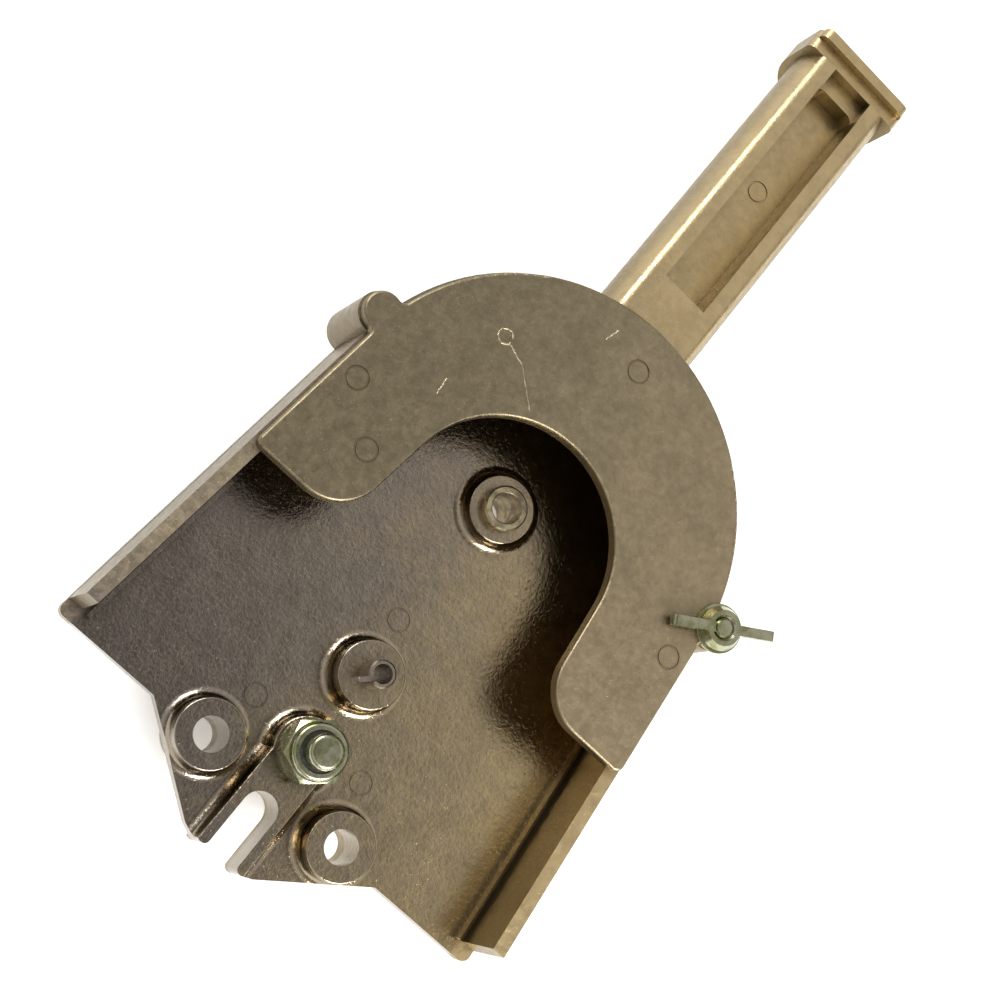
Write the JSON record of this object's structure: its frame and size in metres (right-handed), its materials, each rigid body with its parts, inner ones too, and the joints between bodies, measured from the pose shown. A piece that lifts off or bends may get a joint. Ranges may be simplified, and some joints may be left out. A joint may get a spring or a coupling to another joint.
{
  "type": "cast hand tool housing",
  "caption": "Round-topped cast case on a round grip, with a crescent cover under a wing nut, a bushed hub, bored bosses and an open slotted nose",
  "frame": {"origin": "hub axis at the back end of the hub bush", "axes": "+Z along the hub axis out of the case's open front, +Y towards the grip, +X to the right seen from the front"},
  "size_m": [0.1571, 0.3171, 0.0554],
  "materials": {
    "cast_case": "die cast, gold-tinted conversion coat, glossy",
    "cast_cover": "die cast, gold-tinted conversion coat, semi-gloss",
    "bush_steel": "rolled steel",
    "spring_steel": "oiled spring steel",
    "zinc_steel": "bright zinc plate with a faint green tint",
    "nut_insert": "nylon"
  },
  "bodies": {
    "case": {"housing": "cast_case", "cover_plate": "cast_cover", "hub_bush": "bush_steel", "spring_pin": "spring_steel", "clamp_bolt": "zinc_steel", "clamp_flat_washer": "zinc_steel", "clamp_lock_washer": "zinc_steel", "clamp_nut": "zinc_steel", "clamp_nut_insert": "nut_insert", "cover_screw": "zinc_steel", "cover_dowel": "spring_steel"},
    "washer": {"wing_washer": "zinc_steel"},
    "nut": {"wing_nut": "zinc_steel"}
  },
  "joints": [
    {"name": "wing_nut_turn", "type": "hinge", "parent": "case", "child": "washer", "pos_m": [0.0663, 0.0105, 0.039], "axis": [0, 0, 1], "range_deg": [0, 720]},
    {"name": "wing_nut_rise", "type": "slide", "parent": "washer", "child": "nut", "axis": [0, 0, 1], "range_m": [0, 0.002]}
  ],
  "couplings": [
    {"joint": "wing_nut_rise", "follows": "wing_nut_turn", "m_per_rad": 0.00015915}
  ]
}
